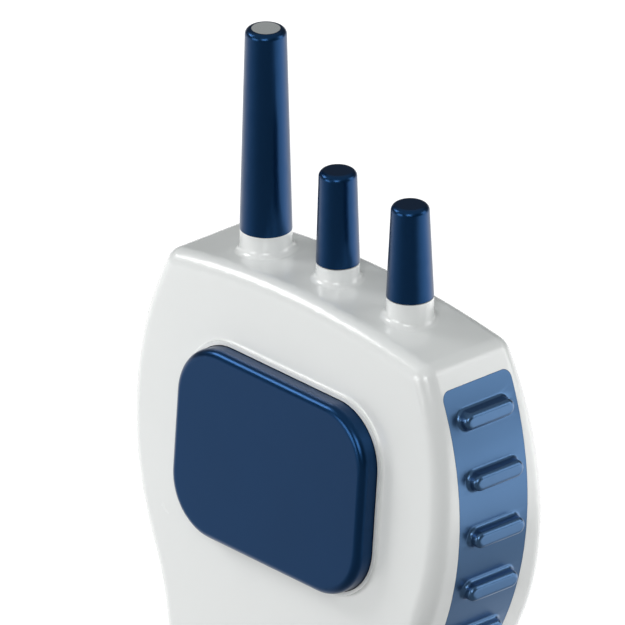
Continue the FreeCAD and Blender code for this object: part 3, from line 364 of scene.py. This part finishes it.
def band(axis, low_mm, high_mm):
    """1 between two distances along X, Y or Z and 0 outside them, with a soft edge."""
    def pattern(tree, place):
        along = add(tree, "ShaderNodeSeparateXYZ", Vector=place).outputs[axis]
        half = (high_mm - low_mm) / 2 * MM
        off = add(tree, "ShaderNodeMath", {"operation": "SUBTRACT", 1: (high_mm + low_mm) / 2 * MM})
        tree.links.new(along, off.inputs[0])
        away = add(tree, "ShaderNodeMath", {"operation": "ABSOLUTE"})
        tree.links.new(off.outputs[0], away.inputs[0])
        settings = {"From Min": half - BAND_EDGE_MM * MM, "From Max": half,
                    "To Min": 1.0, "To Max": 0.0}
        return add(tree, "ShaderNodeMapRange", settings, Value=away.outputs[0]).outputs["Result"]
    return pattern


for number in (1, 2, 3):
    name = f"battery_{number}"
    low, high = (corner[2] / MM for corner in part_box(name))
    near, far = CELL_BAND_MM
    # The middle cell stands the other way up, so its band is near its lower end.
    ends = (low + near, low + far) if number == 2 else (high - far, high - near)
    dress(surface(f"printed_sleeve_{name}", "23262B", "2A2D33", 0.28, 0.8, 0.002,
                  pattern=band("Z", *ends), pattern_colour="C98A2E", pattern_depth_mm=0.01), name)
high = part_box("capacitors")[1][1] / MM
dress(surface("printed_sleeve_capacitor", "1E2A4A", "1A2542", 0.30, 0.5, 0.002,
              pattern=band("Y", high - 1.0, high + 1.0), pattern_colour="B9BCC0",
              pattern_depth_mm=0.05), "capacitors")

# %% [markdown]
# ## Paper, ferrite, felt and rubber
# The speaker's cone is pressed paper pulp with moulded rings, its magnet is fired ferrite with a sandy
# skin, and the gasket is felt, all loose fibre, drawn much thicker than real wool so that it shows.
# The microphone's drawn aluminium capsule is smooth and bright, in a boot of soft black rubber.

# %% Speaker and microphone
CONE_RING_MM = 2.0
FIBRE_MM = 0.6


def speaker_rings(tree, place):
    """Moulded rings about the speaker's own axis, which runs along Y."""
    low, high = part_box("speaker_cone")
    centre = tuple((a + b) / 2 for a, b in zip(low, high))
    moved = add(tree, "ShaderNodeVectorMath", {"operation": "SUBTRACT", 1: centre})
    tree.links.new(place, moved.inputs[0])
    settings = {"wave_type": "RINGS", "rings_direction": "Y", "Scale": WAVE_REPEAT * per_metre(CONE_RING_MM)}
    return add(tree, "ShaderNodeTexWave", settings, Vector=moved.outputs["Vector"]).outputs["Fac"]


def fibres(tree, place):
    """Tangled fibres: a fine noise bent hard by its own distortion."""
    settings = {"Scale": per_metre(FIBRE_MM), "Detail": 6.0, "Distortion": 3.0}
    return add(tree, "ShaderNodeTexNoise", settings, Vector=place).outputs["Fac"]


dress(surface("paper_pulp_cone", "3A3733", "2F2C29", 0.75, 0.3, 0.02, specular=0.3,
              pattern=speaker_rings, pattern_colour="45413C", pattern_depth_mm=0.15), "speaker_cone")
dress(surface("ferrite_fired_magnet", "34363A", "2A2C30", 0.60, 0.25, 0.03, patch_mm=1.5),
      "speaker_magnet")
dress(surface("wool_felt_gasket", "6E6A62", "5F5B54", 0.90, 0.3, 0.03, specular=0.2,
              pattern=fibres, pattern_colour="878279", pattern_depth_mm=0.08), "speaker_gasket")
dress(surface("rubber_soft_black_boot", "1C1C1D", "252526", 0.62, 0.3, 0.006, specular=0.4),
      "microphone_boot")
dress(surface("aluminium_drawn_capsule", "B2B5B8", "A3A6A9", 0.35, 0.3, 0.002,
              metallic=1.0, patch_mm=1.5), "microphone")

# %% [markdown]
# ## Insulated leads
# PVC insulation is drawn through a die over the wire: an even colour with a low gloss and tiny
# ripples along its length.

# %% Leads
for name, base, drift, leads in (
        ("pvc_red_extruded", "B0221E", "A21E1A", ("battery_lead_red", "speaker_lead_red")),
        ("pvc_black_extruded", "1A1A1B", "232324", ("battery_lead_black", "speaker_lead_black")),
        ("pvc_yellow_extruded", "D9A91E", "CC9D1A", ("microphone_lead_yellow", "antenna_lead_yellow"))):
    dress(surface(name, base, drift, 0.38, 0.5, 0.004), *leads)
finishes = {piece.data.materials[0].name for piece in nodes.values()}
print(len(finishes), "finishes on", len(nodes), "pieces")

# %% [markdown]
# ## The table
# The table is a pale acrylic sheet with a painted glow in its emission everywhere except in front of
# the radio, though it is no lamp, so it closes the view with clean white and fills the sides with
# light from below. The part in front of the radio stays grey. Upright navy surfaces reflect exactly
# that part, which keeps their middle dark. The glow depends only on the bearing from the radio: a
# smooth step in the cosine of the angle to a given azimuth. A second, stronger painted glow at the
# right starts a little way out, so it lights the side strip but not the foot.

# %% Floor
# Painted glow on the floor: FLOOR_GLOW all round except the grey part in front, RIGHT_GLOW at the right.
FLOOR_SIZE = 6.0
FLOOR_GREY = "9C9C9C"
DARK_BEARING, DARK_EDGE = math.degrees(VIEW_AZIMUTH), (0.80, -0.60)
FLOOR_GLOW = 0.95
RIGHT_BEARING, RIGHT_EDGE = 132.0, (0.55, 1.0)
RIGHT_GLOW = 1.2
RIGHT_START = (0.16, 0.25)


def glow_by_bearing(tree, bearing, azimuth, edge, glow):
    """0 to glow across edge, which holds two cosines of the angle from azimuth."""
    towards = direction(math.radians(azimuth), 0.0)
    facing = add(tree, "ShaderNodeVectorMath", {"operation": "DOT_PRODUCT", 1: towards})
    tree.links.new(bearing, facing.inputs[0])
    settings = {"interpolation_type": "SMOOTHSTEP", "From Min": edge[0], "From Max": edge[1],
                "To Min": 0.0, "To Max": glow}
    return add(tree, "ShaderNodeMapRange", settings, Value=facing.outputs["Value"]).outputs["Result"]


def table_glow(tree, place):
    """The table's painted glow: the all-round glow plus the one at the right."""
    level = add(tree, "ShaderNodeVectorMath", {"operation": "MULTIPLY", 1: (1.0, 1.0, 0.0)})
    tree.links.new(place, level.inputs[0])
    unit = add(tree, "ShaderNodeVectorMath", {"operation": "NORMALIZE"})
    tree.links.new(level.outputs["Vector"], unit.inputs[0])
    bearing = unit.outputs["Vector"]
    round_glow = glow_by_bearing(tree, bearing, DARK_BEARING, DARK_EDGE, FLOOR_GLOW)
    right_glow = glow_by_bearing(tree, bearing, RIGHT_BEARING, RIGHT_EDGE, RIGHT_GLOW)
    reach = add(tree, "ShaderNodeVectorMath", {"operation": "LENGTH"})
    tree.links.new(level.outputs["Vector"], reach.inputs[0])
    settings = {"interpolation_type": "SMOOTHSTEP", "From Min": RIGHT_START[0], "From Max": RIGHT_START[1]}
    away = add(tree, "ShaderNodeMapRange", settings, Value=reach.outputs["Value"]).outputs["Result"]
    total = add(tree, "ShaderNodeMath", {"operation": "MULTIPLY_ADD"})
    for socket, output in zip(total.inputs, (right_glow, away, round_glow)):
        tree.links.new(output, socket)
    return total.outputs[0]


def make_floor():
    """A square sheet under the radio."""
    half = FLOOR_SIZE / 2
    corners = [(-half, -half, 0), (half, -half, 0), (half, half, 0), (-half, half, 0)]
    mesh = bpy.data.meshes.new("studio_floor")
    mesh.from_pydata(corners, [], [(0, 1, 2, 3)])
    floor = bpy.data.objects.new("studio_floor", mesh)
    bpy.context.scene.collection.objects.link(floor)
    # The floor's emission is a painted glow that lights the radio from below; the floor is no lamp.
    material, tree, shader = new_material("pale_acrylic_table_painted_glow")
    shader.inputs["Base Color"].default_value = linear(FLOOR_GREY)
    shader.inputs["Roughness"].default_value = 0.9
    shader.inputs["Specular IOR Level"].default_value = 0.1
    shader.inputs["Emission Color"].default_value = linear("FFFFFF")
    place = add(tree, "ShaderNodeTexCoord").outputs["Object"]
    tree.links.new(table_glow(tree, place), shader.inputs["Emission Strength"])
    mesh.materials.append(material)
    return floor


print("floor:", make_floor().name, FLOOR_SIZE, "m square")

# %% [markdown]
# ## The room and the lamps
# The room is dim near the horizon and bright overhead, as under a large ceiling diffuser. Four soft
# boxes stand round the radio: one at the left for the long highlights on the upper edges, one in
# front for the white face, a weak one high at the front right as fill, and a tall one behind at the
# right, which draws the bright edges of the knobs and the antenna.

# %% Room and lamps
ROOM_TINT = "F6FAFA"
ROOM_LOW, ROOM_HIGH = 0.12, 0.50
DIM_BELOW, BRIGHT_ABOVE = 0.5, 0.82


def make_room():
    """A grey world: ROOM_LOW below the sine DIM_BELOW of the elevation, ROOM_HIGH past BRIGHT_ABOVE."""
    world = bpy.data.worlds.new("studio_room")
    bpy.context.scene.world = world
    world.use_nodes = True
    tree = world.node_tree
    place = add(tree, "ShaderNodeTexCoord").outputs["Generated"]
    height = add(tree, "ShaderNodeSeparateXYZ", Vector=place).outputs["Z"]
    settings = {"interpolation_type": "SMOOTHSTEP", "From Min": DIM_BELOW, "From Max": BRIGHT_ABOVE,
                "To Min": ROOM_LOW, "To Max": ROOM_HIGH}
    level = add(tree, "ShaderNodeMapRange", settings, Value=height)
    background = tree.nodes["Background"]
    background.inputs["Color"].default_value = linear(ROOM_TINT)
    tree.links.new(level.outputs["Result"], background.inputs["Strength"])


def soft_box(name, azimuth, elevation, distance, width, height, watts):
    """A rectangular lamp aimed at the top half of the radio: angles in degrees, sizes in metres."""
    data = bpy.data.lights.new(name, "AREA")
    data.shape = "RECTANGLE"
    data.size = width
    data.size_y = height
    data.energy = watts
    lamp = bpy.data.objects.new(name, data)
    towards = direction(math.radians(azimuth), math.radians(elevation))
    lamp.location = AIM + towards * distance
    lamp.rotation_euler = (-towards).to_track_quat("-Z", "Y").to_euler()
    bpy.context.scene.collection.objects.link(lamp)
    print(name, [round(metres, 3) for metres in lamp.location], watts, "W")


make_room()
soft_box("left_soft_box", -58, 35, 0.8, 0.30, 0.22, 1.7)
soft_box("front_soft_box", -14, 10, 1.0, 0.5, 0.4, 2.7)
soft_box("camera_side_fill", 40, 30, 1.2, 0.5, 0.5, 4.2)
soft_box("right_tall_box", 138, 18, 0.8, 0.35, 0.50, 1.5)
